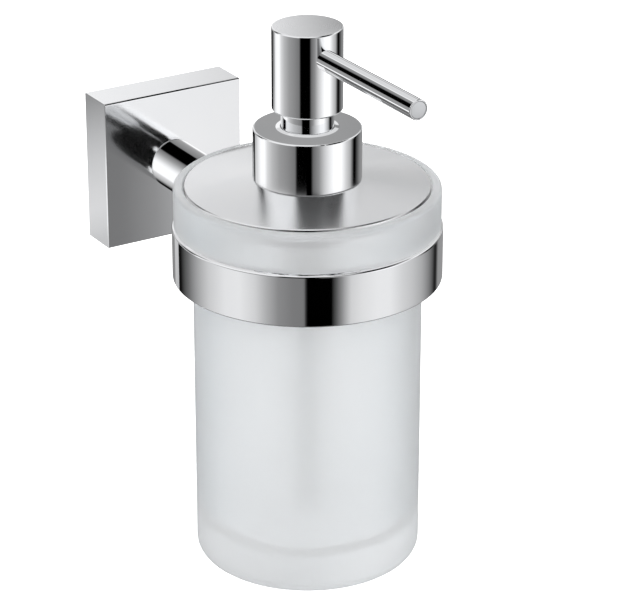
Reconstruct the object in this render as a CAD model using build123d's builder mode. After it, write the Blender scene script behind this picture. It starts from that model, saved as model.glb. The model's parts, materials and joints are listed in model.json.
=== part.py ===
"""Wall mounted soap dispenser: a chrome rosette, arm and ring hold a frosted tumbler with a pump in its lid.

Millimetres. The origin is the centre of the wall face. +Y goes into the wall, -Y into the room, +Z is up.
The arm lies on the Y axis. The ring, the tumbler and the pump stand on one upright axis, `reach` off the wall.
"""

import math
import os

from build123d import *

os.makedirs("parts", exist_ok=True)

# ---------------------------------------------------------------- driving dimensions
reach = 86.0  # wall to the axis of the ring and the pump

# rosette, the square cover on the wall
rosette_side = 44.0
rosette_depth = 12.0
rosette_wall = 2.0
rosette_front = 3.0
rosette_edge = 0.4
grub_boss_width = 8.0
grub_boss_height = 1.5

# wall plate, the bracket inside the rosette
plate_thickness = 2.5
plate_side_gap = 2.5
plate_drop = 4.0  # from the rosette's lower wall up to the plate's lower flange
flange_thickness = 2.0
flange_gap = 1.0  # from the flanges' front edges to the rosette's front
wall_screw_radius = 2.25
wall_screw_spacing = 22.0

# screws
thread_gap = 0.05  # radial gap of every screw in its thread
grub_radius = 2.0
grub_recess = 0.4
screw_radius = 2.5
screw_clearance = 0.25
screw_grip = 10.0  # length of thread in the arm
screw_head_radius = 4.25
screw_head_height = 3.0
sink_head_radius = 4.4
sink_gap = 0.1
hex_radius = 2.0
hex_depth = 1.6
grub_hex_radius = 1.15

# arm and ring
arm_radius = 7.2  # the ring is as tall as the arm is thick
arm_edge = 0.4
ring_radius = 36.5
ring_wall = 3.3
ring_top_edge = 0.5
ring_bottom_edge = 0.3
rebate_width = 1.5
rebate_depth = 1.0

# ring liner, the plastic seat of the glass
liner_wall = 1.7
liner_gap = 0.1
liner_proud = 0.2  # how far the liner's flange stands above the ring
liner_edge = 0.4
liner_lift = 0.8  # from the ring's lower edge up to the liner's

# tumbler
glass_gap = 0.4  # radial gap between the glass and the liner
collar_inset = 0.5  # from the ring's outer face in to the glass collar's
glass_wall = 3.0
glass_base = 9.0
collar_height = 11.0
body_drop = 97.0  # from the seat on the liner down to the underside of the base
rim_width = 2.6
rim_round = 1.0
collar_round = 0.5
mouth_round = 0.3
base_round = 3.5
floor_round = 7.0

# lid
lid_gap = 0.3
lid_proud = 0.4  # how far the lid's edge stands above the glass rim
lid_thickness = 1.5
lid_rise = 1.9  # from the lid's edge up to the flat under the pump collar
lid_edge = 0.2
skirt_gap = 0.5
skirt_wall = 1.0
skirt_depth = 5.0
gasket_thickness = 1.4
gasket_gap = 0.3

# pump collar and the gap of bare neck above it
pump_collar_radius = 14.6
pump_collar_height = 14.2
pump_collar_cap = 6.5
pump_collar_edge = 0.4
pump_collar_foot = 0.3
neck_radius = 7.1
neck_wall = 1.1
neck_gap = 0.3
neck_mouth = 0.6  # chamfer round the neck's hole
neck_engage = 5.5  # how deep the neck reaches into the pump collar at rest
neck_grip = 4.0  # how deep the neck reaches into the head
stroke = 4.7
head_clear = 0.5  # from the pump collar up to the head, when it is pressed

# head and spout
head_radius = 9.5
head_height = 22.8
head_edge = 0.4
head_fit = 0.02
insert_fit = 0.05
insert_dip = 1.5  # how far the insert reaches below the head, inside the neck
insert_cap = 3.7  # from the spout's axis up to the insert's top
spout_radius = 2.75
spout_wall = 0.95
spout_drop = 6.8  # from the head's top down to the spout's axis
spout_reach = 53.2  # from the pump's axis to the spout's tip
spout_edge = 0.3
plug_lip = 0.4
plug_depth = 1.2
plug_recess = 0.1
plug_spigot = 2.0
outlet_radius = 1.2
outlet_inset = 7.0  # from the tip back to the outlet under the spout

# pump
neck_room = 0.8  # radial room round the neck, inside the housing
thread_fit = 0.1
housing_wall = 2.1
housing_flange = 13.5
housing_flange_thickness = 2.0
pump_gasket_thickness = 1.0
pump_gasket_gap = 0.2
guide_length = 8.0
guide_gap = 0.6
guide_fit = 0.05
stem_radius = 3.2
stem_bore = 1.5
running_fit = 0.05
stem_grip = 7.0  # length of stem in the head's socket
barrel_wall = 1.5
piston_length = 6.0
piston_stop = 0.3
piston_wall = 1.5
piston_slack = 0.3
seal_height = 1.6
seal_depth = 1.0
spring_length = 14.0
spring_wire = 0.45
spring_turns = 6
spring_gap = 0.35  # from the coil to the barrel
spring_end_gap = 0.05
cage_height = 3.0
cage_fit = 0.05
ball_radius = 2.0
ball_lift = 1.5
ball_gap = 0.1
ball_room = 0.9  # radial room of the lower ball in its chamber
outlet_ball_radius = 1.9
outlet_ball_lift = 1.0
outlet_ball_room = 0.4
valve_floor = 1.5
inlet_radius = 1.3
tube_radius = 3.0
tube_wall = 1.0
tube_fit = 0.05
tube_socket_depth = 8.0
tube_socket_wall = 1.7
tube_clear = 3.0  # from the tube's lower end to the tumbler's floor

# ---------------------------------------------------------------- places worked out from them
pump_plane = Plane.XZ.offset(reach)  # x is the radius, y the height
pump_axis = Axis((0, -reach, 0), (0, 0, 1))
arm_plane = Plane.XY  # x is the radius, y the distance from the wall

rosette_inner = rosette_side / 2 - rosette_wall
front_inner = -(rosette_depth - rosette_front)
flange_depth = -front_inner - flange_gap
grub_inset = (plate_thickness + flange_depth) / 2
grub_tip = -rosette_inner + plate_drop
grub_head = -rosette_side / 2 + grub_recess

ring_top = arm_radius
ring_bottom = -arm_radius
ring_bore = ring_radius - ring_wall
rebate_radius = ring_bore + rebate_width
rebate_floor = ring_top - rebate_depth
liner_outer = ring_bore - liner_gap
liner_inner = liner_outer - liner_wall
seat = ring_top + liner_proud

body_radius = liner_inner - glass_gap
glass_inner = body_radius - glass_wall
glass_bottom = seat - body_drop
glass_floor = glass_bottom + glass_base
collar_radius = ring_radius - collar_inset
mouth_radius = collar_radius - rim_width
rim = seat + collar_height

housing_bore = neck_radius + neck_room
thread_radius = housing_bore + housing_wall
lid_hole = thread_radius + thread_fit

lid_radius = mouth_radius - lid_gap
lid_top = rim + lid_proud
lid_under = lid_top - lid_thickness
ledge = lid_under - gasket_thickness
pump_seat = lid_top + lid_rise
skirt_outer = glass_inner - skirt_gap

collar_top = pump_seat + pump_collar_height
collar_shoulder = collar_top - pump_collar_cap
head_bottom = collar_top + stroke + head_clear
head_top = head_bottom + head_height
spout_height = head_top - spout_drop
spout_bore = spout_radius - spout_wall

housing_top = collar_shoulder - guide_gap
housing_flange_top = pump_seat - lid_thickness - pump_gasket_thickness
housing_flange_bottom = housing_flange_top - housing_flange_thickness
guide_top = collar_top - neck_engage - stroke - guide_gap
guide_bottom = guide_top - guide_length
housing_body_bottom = min(guide_bottom, housing_flange_bottom) - barrel_wall

barrel_radius = stem_radius + piston_wall + piston_slack
piston_radius = barrel_radius - piston_slack
piston_top = guide_bottom - piston_stop
piston_bottom = piston_top - piston_length
cage_top = piston_bottom - spring_length
cage_bottom = cage_top - cage_height
ball_seat = cage_bottom - ball_lift - 2 * ball_radius - ball_gap
chamber_radius = ball_radius + ball_room
# the ball stands clear of a seat that slopes at 45 degrees
ball_height = ball_seat - inlet_radius + (ball_radius + ball_gap) * math.sqrt(2)
tube_top = ball_seat - valve_floor
socket_mouth = tube_top - tube_socket_depth

stem_top = head_bottom + stem_grip
outlet_ball_height = stem_top + math.sqrt((outlet_ball_radius + ball_gap) ** 2 - stem_bore**2)
outlet_chamber_top = outlet_ball_height + outlet_ball_radius + outlet_ball_lift + ball_gap
socket_radius = neck_radius - neck_wall
insert_radius = socket_radius - insert_fit
insert_top = spout_height + insert_cap
insert_bottom = head_bottom - insert_dip


def section(r_inner, r_outer, low, high, mode=Mode.ADD):
    """Add a rectangle to the open sketch, between two radii and two heights."""
    with Locations((r_inner, low)):
        Rectangle(r_outer - r_inner, high - low, align=(Align.MIN, Align.MIN), mode=mode)


def outline(*points, mode=Mode.ADD):
    """Add a closed straight-sided outline to the open sketch."""
    Polygon(*points, align=None, mode=mode)


def corner(sketch, radius, height):
    """The corner of a sketch that is nearest to a radius and a height."""
    return sketch.vertices().sort_by_distance((radius, height))[0]


# ---------------------------------------------------------------- holder: everything that stays on the wall
with BuildPart() as wall_plate:
    plate_half = rosette_inner - plate_side_gap
    with BuildSketch(Plane.XZ):
        with Locations((-plate_half, grub_tip)):
            Rectangle(2 * plate_half, rosette_inner - grub_tip, align=(Align.MIN, Align.MIN))
    extrude(amount=plate_thickness)
    with BuildSketch(Plane.XZ.offset(plate_thickness)):
        for flange_low in (grub_tip, rosette_inner - flange_thickness):
            with Locations((-plate_half, flange_low)):
                Rectangle(2 * plate_half, flange_thickness, align=(Align.MIN, Align.MIN))
    extrude(amount=flange_depth - plate_thickness)
    with BuildSketch(Plane.XZ):
        with GridLocations(wall_screw_spacing, 0, 2, 1):
            Circle(wall_screw_radius)
    extrude(amount=plate_thickness, mode=Mode.SUBTRACT)
wall_plate.part.label = "wall_plate"
export_step(wall_plate.part, "parts/wall_plate.step")

with BuildPart() as rosette:
    with BuildSketch(Plane.XZ):
        Rectangle(rosette_side, rosette_side)
    extrude(amount=rosette_depth)
    outer_edges = rosette.edges().filter_by(Axis.Y) + rosette.faces().sort_by(Axis.Y)[0].edges()
    chamfer(outer_edges, rosette_edge)
    with BuildSketch(Plane.XZ):
        Rectangle(2 * rosette_inner, 2 * rosette_inner)
        with Locations((0, -rosette_inner)):
            Rectangle(grub_boss_width, 2 * grub_boss_height, mode=Mode.SUBTRACT)
    extrude(amount=rosette_depth - rosette_front, mode=Mode.SUBTRACT)
    with BuildSketch(Plane.XZ.offset(rosette_depth - rosette_front)):
        Circle(screw_radius + screw_clearance)
    extrude(amount=rosette_front, mode=Mode.SUBTRACT)
    with BuildSketch(Plane.XY.offset(-rosette_side / 2)):
        with Locations((0, -grub_inset)):
            Circle(grub_radius)
    extrude(amount=rosette_wall + grub_boss_height, mode=Mode.SUBTRACT)
rosette.part.label = "rosette"
export_step(rosette.part, "parts/rosette.step")

with BuildPart() as grub_screw:
    with BuildSketch(Plane.XY.offset(grub_head)):
        with Locations((0, -grub_inset)):
            Circle(grub_radius - thread_gap)
    extrude(amount=grub_tip - grub_head)
    with BuildSketch(Plane.XY.offset(grub_head)):
        with Locations((0, -grub_inset)):
            RegularPolygon(grub_hex_radius, 6)
    extrude(amount=hex_depth, mode=Mode.SUBTRACT)
grub_screw.part.label = "grub_screw"
export_step(grub_screw.part, "parts/grub_screw.step")

# the ring's outer form, which also shapes the saddle at the arm's end
with BuildPart() as ring_blank:
    with BuildSketch(pump_plane) as blank_profile:
        section(0, ring_radius, ring_bottom, ring_top)
        chamfer(corner(blank_profile, ring_radius, ring_top), ring_top_edge)
        chamfer(corner(blank_profile, ring_radius, ring_bottom), ring_bottom_edge)
    revolve(axis=pump_axis)

ring_near = -reach + ring_radius  # the ring's outer face on the arm's side
sink_face = -reach + ring_bore  # the ring's inner face on the arm's side
sink_depth = sink_head_radius - screw_radius

with BuildPart() as arm:
    with BuildSketch(arm_plane) as arm_profile:
        section(0, arm_radius, -reach, -rosette_depth)
        chamfer(corner(arm_profile, arm_radius, -rosette_depth), arm_edge)
    revolve(axis=Axis.Y)
    add(ring_blank.part, mode=Mode.SUBTRACT)
    with BuildSketch(arm_plane):
        section(0, screw_radius, -rosette_depth - screw_grip - hex_depth, -rosette_depth)
        section(0, screw_radius, ring_near - hex_depth, ring_near + screw_grip + hex_depth)
    revolve(axis=Axis.Y, mode=Mode.SUBTRACT)
arm.part.label = "arm"
export_step(arm.part, "parts/arm.step")

with BuildPart() as arm_screw:
    with BuildSketch(arm_plane) as arm_screw_profile:
        section(0, screw_head_radius, front_inner, front_inner + screw_head_height)
        section(0, screw_radius - thread_gap, -rosette_depth - screw_grip, front_inner)
        chamfer(corner(arm_screw_profile, screw_head_radius, front_inner + screw_head_height), rosette_edge)
    revolve(axis=Axis.Y)
    with BuildSketch(Plane.XZ.offset(-(front_inner + screw_head_height))):
        RegularPolygon(hex_radius, 6)
    extrude(amount=hex_depth, mode=Mode.SUBTRACT)
arm_screw.part.label = "arm_screw"
export_step(arm_screw.part, "parts/arm_screw.step")

with BuildPart() as ring:
    add(ring_blank.part)
    with BuildSketch(pump_plane):
        section(0, ring_bore, ring_bottom, ring_top)
        section(0, rebate_radius, rebate_floor, ring_top)
    revolve(axis=pump_axis, mode=Mode.SUBTRACT)
    with BuildSketch(arm_plane):
        section(0, screw_radius + screw_clearance, sink_face - ring_wall, ring_near + screw_clearance)
        outline(
            (0, sink_face - ring_wall),
            (sink_head_radius + sink_gap, sink_face - ring_wall),
            (sink_head_radius + sink_gap, sink_face),
            (screw_radius + sink_gap, sink_face + sink_depth),
            (0, sink_face + sink_depth),
        )
    revolve(axis=Axis.Y, mode=Mode.SUBTRACT)
ring.part.label = "ring"
export_step(ring.part, "parts/ring.step")

with BuildPart() as ring_screw:
    with BuildSketch(arm_plane):
        outline(
            (0, sink_face),
            (sink_head_radius, sink_face),
            (screw_radius - thread_gap, sink_face + sink_depth + thread_gap),
            (screw_radius - thread_gap, ring_near + screw_grip),
            (0, ring_near + screw_grip),
        )
    revolve(axis=Axis.Y)
    with BuildSketch(Plane.XZ.offset(-sink_face)):
        RegularPolygon(hex_radius, 6)
    extrude(amount=-hex_depth, mode=Mode.SUBTRACT)
ring_screw.part.label = "ring_screw"
export_step(ring_screw.part, "parts/ring_screw.step")

with BuildPart() as ring_liner:
    with BuildSketch(pump_plane) as liner_profile:
        section(liner_inner, liner_outer, ring_bottom + liner_lift, rebate_floor)
        section(liner_inner, rebate_radius - liner_gap, rebate_floor, seat)
        chamfer(corner(liner_profile, liner_inner, seat), liner_edge)
        chamfer(corner(liner_profile, liner_inner, ring_bottom + liner_lift), liner_edge)
    revolve(axis=pump_axis)
ring_liner.part.label = "ring_liner"
export_step(ring_liner.part, "parts/ring_liner.step")

# ---------------------------------------------------------------- tumbler
with BuildPart() as tumbler:
    with BuildSketch(pump_plane) as glass_profile:
        section(0, body_radius, glass_bottom, seat)
        section(0, collar_radius, seat, rim)
        fillet(corner(glass_profile, body_radius, glass_bottom), base_round)
        fillet(corner(glass_profile, collar_radius, seat), collar_round)
        fillet(corner(glass_profile, collar_radius, rim), rim_round)
    revolve(axis=pump_axis)
    with BuildSketch(pump_plane) as hollow_profile:
        section(0, glass_inner, glass_floor, rim)
        section(0, mouth_radius, ledge, rim)
        fillet(corner(hollow_profile, glass_inner, glass_floor), floor_round)
    revolve(axis=pump_axis, mode=Mode.SUBTRACT)
    mouth_edge = tumbler.edges().group_by(Axis.Z)[-1].sort_by(SortBy.LENGTH)[0]
    chamfer(mouth_edge, mouth_round)
tumbler.part.label = "tumbler"
export_step(tumbler.part, "parts/tumbler.step")

# ---------------------------------------------------------------- lid body
land_radius = pump_collar_radius
skirt_inner = skirt_outer - skirt_wall
with BuildPart() as lid:
    with BuildSketch(pump_plane) as lid_profile:
        outline(
            (lid_hole, pump_seat),
            (land_radius, pump_seat),
            (lid_radius, lid_top),
            (lid_radius, lid_under),
            (skirt_outer, lid_under),
            (skirt_outer, lid_under - skirt_depth),
            (skirt_inner, lid_under - skirt_depth),
            (skirt_inner, lid_under),
            (land_radius, pump_seat - lid_thickness),
            (lid_hole, pump_seat - lid_thickness),
        )
        chamfer(corner(lid_profile, lid_radius, lid_top), lid_edge)
    revolve(axis=pump_axis)
lid.part.label = "lid"
export_step(lid.part, "parts/lid.step")

with BuildPart() as lid_gasket:
    with BuildSketch(pump_plane):
        section(glass_inner, mouth_radius - gasket_gap, ledge, lid_under)
    revolve(axis=pump_axis)
lid_gasket.part.label = "lid_gasket"
export_step(lid_gasket.part, "parts/lid_gasket.step")

with BuildPart() as pump_collar:
    with BuildSketch(pump_plane) as collar_profile:
        section(thread_radius + thread_fit, pump_collar_radius, pump_seat, collar_shoulder)
        section(neck_radius + neck_gap, pump_collar_radius, collar_shoulder, collar_top)
        chamfer(corner(collar_profile, pump_collar_radius, collar_top), pump_collar_edge)
        chamfer(corner(collar_profile, pump_collar_radius, pump_seat), pump_collar_foot)
        chamfer(corner(collar_profile, neck_radius + neck_gap, collar_top), neck_mouth)
    revolve(axis=pump_axis)
pump_collar.part.label = "pump_collar"
export_step(pump_collar.part, "parts/pump_collar.step")

with BuildPart() as pump_gasket:
    with BuildSketch(pump_plane):
        gasket_low = housing_flange_top
        section(thread_radius + pump_gasket_gap, housing_flange, gasket_low, gasket_low + pump_gasket_thickness)
    revolve(axis=pump_axis)
pump_gasket.part.label = "pump_gasket"
export_step(pump_gasket.part, "parts/pump_gasket.step")

with BuildPart() as pump_housing:
    with BuildSketch(pump_plane):
        section(0, thread_radius, housing_body_bottom, housing_top)
        section(0, housing_flange, housing_flange_bottom, housing_flange_top)
        section(0, barrel_radius + barrel_wall, ball_seat - valve_floor, housing_body_bottom)
        section(0, tube_radius + tube_socket_wall, socket_mouth, ball_seat - valve_floor)
    revolve(axis=pump_axis)
    with BuildSketch(pump_plane):
        section(0, housing_bore, guide_bottom, housing_top)
        section(0, barrel_radius, cage_bottom, guide_bottom)
        section(0, chamber_radius, ball_seat + chamber_radius - inlet_radius, cage_bottom)
        outline(
            (0, ball_seat),
            (inlet_radius, ball_seat),
            (chamber_radius, ball_seat + chamber_radius - inlet_radius),
            (0, ball_seat + chamber_radius - inlet_radius),
        )
        section(0, inlet_radius, tube_top, ball_seat)
        section(0, tube_radius + tube_fit, socket_mouth, tube_top)
    revolve(axis=pump_axis, mode=Mode.SUBTRACT)
pump_housing.part.label = "pump_housing"
export_step(pump_housing.part, "parts/pump_housing.step")

with BuildPart() as stem_guide:
    with BuildSketch(pump_plane):
        section(stem_radius + running_fit, housing_bore - guide_fit, guide_bottom, guide_top)
    revolve(axis=pump_axis)
stem_guide.part.label = "stem_guide"
export_step(stem_guide.part, "parts/stem_guide.step")

with BuildPart() as ball_cage:
    with BuildSketch(pump_plane):
        section(inlet_radius, barrel_radius - cage_fit, cage_bottom, cage_top)
    revolve(axis=pump_axis)
ball_cage.part.label = "ball_cage"
export_step(ball_cage.part, "parts/ball_cage.step")

with BuildPart() as dip_tube:
    with BuildSketch(pump_plane):
        section(tube_radius - tube_wall, tube_radius, glass_floor + tube_clear, tube_top)
    revolve(axis=pump_axis)
dip_tube.part.label = "dip_tube"
export_step(dip_tube.part, "parts/dip_tube.step")

spring_radius = barrel_radius - spring_wire - spring_gap
spring_run = spring_length - 2 * (spring_wire + spring_end_gap)
with BuildPart() as pump_spring:
    with BuildLine() as coil:
        Helix(
            pitch=spring_run / spring_turns,
            height=spring_run,
            radius=spring_radius,
            center=(0, -reach, cage_top + spring_wire + spring_end_gap),
        )
    with BuildSketch(Plane(origin=coil.line @ 0, z_dir=coil.line % 0)):
        Circle(spring_wire)
    sweep(path=coil.line, is_frenet=True)
pump_spring.part.label = "pump_spring"
export_step(pump_spring.part, "parts/pump_spring.step")

# ---------------------------------------------------------------- inlet ball
with BuildPart() as inlet_ball:
    with Locations((0, -reach, ball_height)):
        Sphere(ball_radius)
inlet_ball.part.label = "inlet_ball"
export_step(inlet_ball.part, "parts/inlet_ball.step")

# ---------------------------------------------------------------- plunger: what the head pushes down
with BuildPart() as stem:
    with BuildSketch(pump_plane):
        section(stem_bore, stem_radius, piston_bottom, stem_top)
    revolve(axis=pump_axis)
stem.part.label = "stem"
export_step(stem.part, "parts/stem.step")

seal_low = piston_top - piston_length / 2 - seal_height / 2
with BuildPart() as piston:
    with BuildSketch(pump_plane):
        section(stem_radius, piston_radius, piston_bottom, piston_top)
        section(piston_radius - seal_depth, piston_radius, seal_low, seal_low + seal_height, Mode.SUBTRACT)
    revolve(axis=pump_axis)
piston.part.label = "piston"
export_step(piston.part, "parts/piston.step")

with BuildPart() as piston_seal:
    with BuildSketch(pump_plane):
        section(piston_radius - seal_depth, barrel_radius - running_fit, seal_low, seal_low + seal_height)
    revolve(axis=pump_axis)
piston_seal.part.label = "piston_seal"
export_step(piston_seal.part, "parts/piston_seal.step")

# ---------------------------------------------------------------- outlet ball
with BuildPart() as outlet_ball:
    with Locations((0, -reach, outlet_ball_height)):
        Sphere(outlet_ball_radius)
outlet_ball.part.label = "outlet_ball"
export_step(outlet_ball.part, "parts/outlet_ball.step")

# ---------------------------------------------------------------- head: turns on the stem and is pressed
spout_plane = Plane.XZ.offset(reach + spout_reach)  # the face of the spout's tip
spout_root = spout_reach - socket_radius

with BuildPart() as neck_sleeve:
    with BuildSketch(pump_plane):
        section(socket_radius, neck_radius, collar_top - neck_engage, head_bottom + neck_grip)
    revolve(axis=pump_axis)
neck_sleeve.part.label = "neck_sleeve"
export_step(neck_sleeve.part, "parts/neck_sleeve.step")

with BuildPart() as pump_head:
    with BuildSketch(pump_plane) as head_profile:
        section(0, head_radius, head_bottom, head_top)
        chamfer(corner(head_profile, head_radius, head_top), head_edge)
        chamfer(corner(head_profile, head_radius, head_bottom), head_edge)
    revolve(axis=pump_axis)
    with BuildSketch(pump_plane):
        section(0, neck_radius + head_fit, head_bottom, head_bottom + neck_grip)
        section(0, socket_radius, head_bottom + neck_grip, insert_top)
    revolve(axis=pump_axis, mode=Mode.SUBTRACT)
    with BuildSketch(pump_plane):
        with Locations((0, spout_height)):
            Circle(spout_radius + head_fit)
    extrude(amount=head_radius, mode=Mode.SUBTRACT)
pump_head.part.label = "pump_head"
export_step(pump_head.part, "parts/pump_head.step")

with BuildPart() as head_socket:
    with BuildSketch(pump_plane):
        section(0, insert_radius, insert_bottom, insert_top)
    revolve(axis=pump_axis)
    with BuildSketch(pump_plane):
        section(0, stem_radius + running_fit, insert_bottom, stem_top)
        section(0, outlet_ball_radius + outlet_ball_room, stem_top, outlet_chamber_top)
        section(0, stem_bore, outlet_chamber_top, spout_height)
    revolve(axis=pump_axis, mode=Mode.SUBTRACT)
    with BuildSketch(pump_plane):
        with Locations((0, spout_height)):
            Circle(spout_bore)
    extrude(amount=socket_radius, mode=Mode.SUBTRACT)
head_socket.part.label = "head_socket"
export_step(head_socket.part, "parts/head_socket.step")

plug_radius = spout_radius - plug_lip
with BuildPart() as spout:
    with BuildSketch(spout_plane):
        with Locations((0, spout_height)):
            Circle(spout_radius)
    extrude(amount=-spout_root)
    chamfer(spout.faces().sort_by(Axis.Y)[0].edges(), spout_edge)
    with BuildSketch(spout_plane):
        with Locations((0, spout_height)):
            Circle(spout_bore)
    extrude(amount=-spout_root, mode=Mode.SUBTRACT)
    with BuildSketch(spout_plane):
        with Locations((0, spout_height)):
            Circle(plug_radius)
    extrude(amount=-plug_depth, mode=Mode.SUBTRACT)
    with BuildSketch(Plane.XY.offset(spout_height)):
        with Locations((0, -reach - spout_reach + outlet_inset)):
            Circle(outlet_radius)
    extrude(amount=-2 * spout_radius, mode=Mode.SUBTRACT)
spout.part.label = "spout"
export_step(spout.part, "parts/spout.step")

with BuildPart() as spout_plug:
    with BuildSketch(spout_plane.offset(-plug_recess)):
        with Locations((0, spout_height)):
            Circle(plug_radius - running_fit)
    extrude(amount=-(plug_depth - plug_recess))
    with BuildSketch(spout_plane.offset(-plug_depth)):
        with Locations((0, spout_height)):
            Circle(spout_bore - running_fit)
    extrude(amount=-plug_spigot)
spout_plug.part.label = "spout_plug"
export_step(spout_plug.part, "parts/spout_plug.step")
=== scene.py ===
# %% [markdown]
# # A wall mounted soap dispenser
#
# A square chrome rosette sits on the wall. A round arm comes out of it and carries a ring. A frosted
# tumbler hangs in that ring by its wide collar, and a pump stands in the tumbler's lid. Nearly every piece
# is turned on a lathe or pressed from a round blank, so nearly every piece here is an outline that is spun
# round an axis.
#
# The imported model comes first. It says where each part is, so every size below starts from it.

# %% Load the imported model
import json
import math

import bmesh
import bpy
from mathutils import Matrix, Vector

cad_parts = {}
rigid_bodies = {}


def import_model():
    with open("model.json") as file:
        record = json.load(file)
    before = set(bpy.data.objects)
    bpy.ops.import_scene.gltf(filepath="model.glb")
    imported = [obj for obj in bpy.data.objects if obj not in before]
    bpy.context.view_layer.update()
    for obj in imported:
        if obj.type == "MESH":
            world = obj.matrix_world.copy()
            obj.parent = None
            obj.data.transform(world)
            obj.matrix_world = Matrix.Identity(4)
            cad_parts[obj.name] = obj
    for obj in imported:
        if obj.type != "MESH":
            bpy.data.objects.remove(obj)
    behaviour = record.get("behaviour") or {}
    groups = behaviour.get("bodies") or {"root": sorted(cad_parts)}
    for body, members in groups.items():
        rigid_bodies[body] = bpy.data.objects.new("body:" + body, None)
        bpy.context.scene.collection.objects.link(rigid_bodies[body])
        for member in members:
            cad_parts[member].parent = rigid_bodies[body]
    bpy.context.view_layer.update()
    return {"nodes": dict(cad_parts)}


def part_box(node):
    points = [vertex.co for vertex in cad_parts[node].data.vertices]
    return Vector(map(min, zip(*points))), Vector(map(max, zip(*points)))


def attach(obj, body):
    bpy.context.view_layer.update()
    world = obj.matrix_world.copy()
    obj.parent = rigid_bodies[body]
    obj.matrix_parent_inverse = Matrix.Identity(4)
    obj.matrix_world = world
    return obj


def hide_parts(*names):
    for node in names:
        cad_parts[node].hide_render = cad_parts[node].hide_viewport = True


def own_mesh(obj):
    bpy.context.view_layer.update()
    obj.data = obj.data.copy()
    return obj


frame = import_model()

print("nodes in the frame:", len(frame["nodes"]))

# %% [markdown]
# ## Sizes from the frame
#
# A turned part is told by four numbers: its bore, its outer radius, and its lowest and highest points. They
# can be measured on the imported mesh, so they are never typed twice. What the mesh can't say at a glance,
# such as how wide an edge is broken, is a named value in millimetres.

# %% Measure the turned parts
MM = 0.001
UP = Vector((0, 0, 1))
OUT = Vector((0, 1, 0))  # along the arm, towards the wall

glass_low, glass_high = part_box("tumbler")
PUMP = Vector((0, (glass_low.y + glass_high.y) / 2, 0))
spout_low, spout_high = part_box("spout")
SPOUT = Vector((0, 0, (spout_low.z + spout_high.z) / 2))
ARM = Vector((0, 0, 0))


class Turned:
    """The bore, outer radius, low end and high end of a node round an axis, in metres."""

    def __init__(self, node, centre=PUMP, axis=UP):
        offsets = [v.co - centre for v in frame["nodes"][node].data.vertices]
        heights = [offset.dot(axis) for offset in offsets]
        radii = [(offset - axis * height).length for offset, height in zip(offsets, heights)]
        self.bore, self.radius = min(radii), max(radii)
        self.low, self.high = min(heights), max(heights)


ring = Turned("ring")
liner = Turned("ring_liner")
glass = Turned("tumbler")
lid = Turned("lid")
pump_collar = Turned("pump_collar")
neck = Turned("neck_sleeve")
head = Turned("pump_head")
print(f"pump axis at y {PUMP.y / MM:.1f} mm, ring radius {ring.radius / MM:.1f} mm")

# %% [markdown]
# ## A lathe
#
# A lathe turns an outline into a piece. The outline is a list of corners: radius, height, and how round the
# corner is. A few vertices joined by edges are spun a full turn, and the first and last rows are merged so
# that no seam is left. Rounding is done after the spin, with a bevel on the one ring of edges that belongs
# to each corner. A real edge always has a small round, and that round is what catches the light on chrome.

# %% Spin an outline and round its corners
TOUCHING = 1e-6


def ring_edges(bm, centre, axis, radius, height):
    """The edges that lie on one circle round the axis."""

    def on_circle(vert):
        offset = vert.co - centre
        along = offset.dot(axis)
        across = (offset - axis * along).length
        return abs(along - height) < TOUCHING and abs(across - radius) < TOUCHING

    return [edge for edge in bm.edges if all(on_circle(vert) for vert in edge.verts)]


def lathe(outline, centre=PUMP, axis=UP, steps=96, segments=4):
    """Spin (radius, height, rounding) corners, in metres, into one closed form."""
    bm = bmesh.new()
    side = Vector((1, 0, 0))
    row = [bm.verts.new(centre + side * radius + axis * height) for radius, height, _ in outline]
    for first, second in zip(row, row[1:]):
        bm.edges.new((first, second))
    if outline[0][0] > 0:
        bm.edges.new((row[-1], row[0]))
    bmesh.ops.spin(
        bm,
        geom=bm.verts[:] + bm.edges[:],
        cent=centre,
        axis=axis,
        angle=2 * math.pi,
        steps=steps,
        use_merge=True,
    )
    bmesh.ops.remove_doubles(bm, verts=bm.verts[:], dist=TOUCHING / 10)
    bmesh.ops.recalc_face_normals(bm, faces=bm.faces[:])
    for radius, height, rounding in outline:
        if rounding:
            bmesh.ops.bevel(
                bm,
                geom=ring_edges(bm, centre, axis, radius, height),
                offset=rounding,
                offset_type="OFFSET",
                affect="EDGES",
                segments=segments,
                profile=0.5,
                material=-1,
            )
    return bm


# %% [markdown]
# ## From a form to a finished piece
#
# Chrome shows every fault in the shading, because it shows the surface's normals and nothing else. Faces
# are shaded smooth, corners that were left sharp stay sharp, and the Weighted Normal modifier lets the
# large faces decide, so a flat face mirrors like a flat face right up to its rounded edge.

# %% Make an object of a form
SHARP_ANGLE = math.radians(32)


def finish_piece(name, bm, body, slot, material, *nodes):
    """Link a form as a shaded object that rides on a body and stands for CAD nodes."""
    mesh = bpy.data.meshes.new(name)
    bm.to_mesh(mesh)
    bm.free()
    for finish in material if isinstance(material, list) else [material]:
        mesh.materials.append(finish)
    mesh.polygons.foreach_set("use_smooth", [True] * len(mesh.polygons))
    mesh.set_sharp_from_angle(angle=SHARP_ANGLE)
    piece = bpy.data.objects.new(name, mesh)
    bpy.context.scene.collection.objects.link(piece)
    weighted = piece.modifiers.new("large faces decide", "WEIGHTED_NORMAL")
    weighted.keep_sharp = True
    weighted.weight = 100
    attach(piece, body)
    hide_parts(*nodes)
    print(f"{name}: {len(mesh.polygons)} faces")
    return piece


# %% [markdown]
# ## Polished chrome
#
# Chrome plate is a mirror with a faint blue cast. A perfect mirror looks like computer graphics, because a
# real one has been wiped: here a soft noise moves its roughness and its tint a little. The noise reads Object
# coordinates, so it stays on the metal when it moves.

# %% A start for every material
GRAIN_DEPTH = 0.02 * MM


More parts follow.
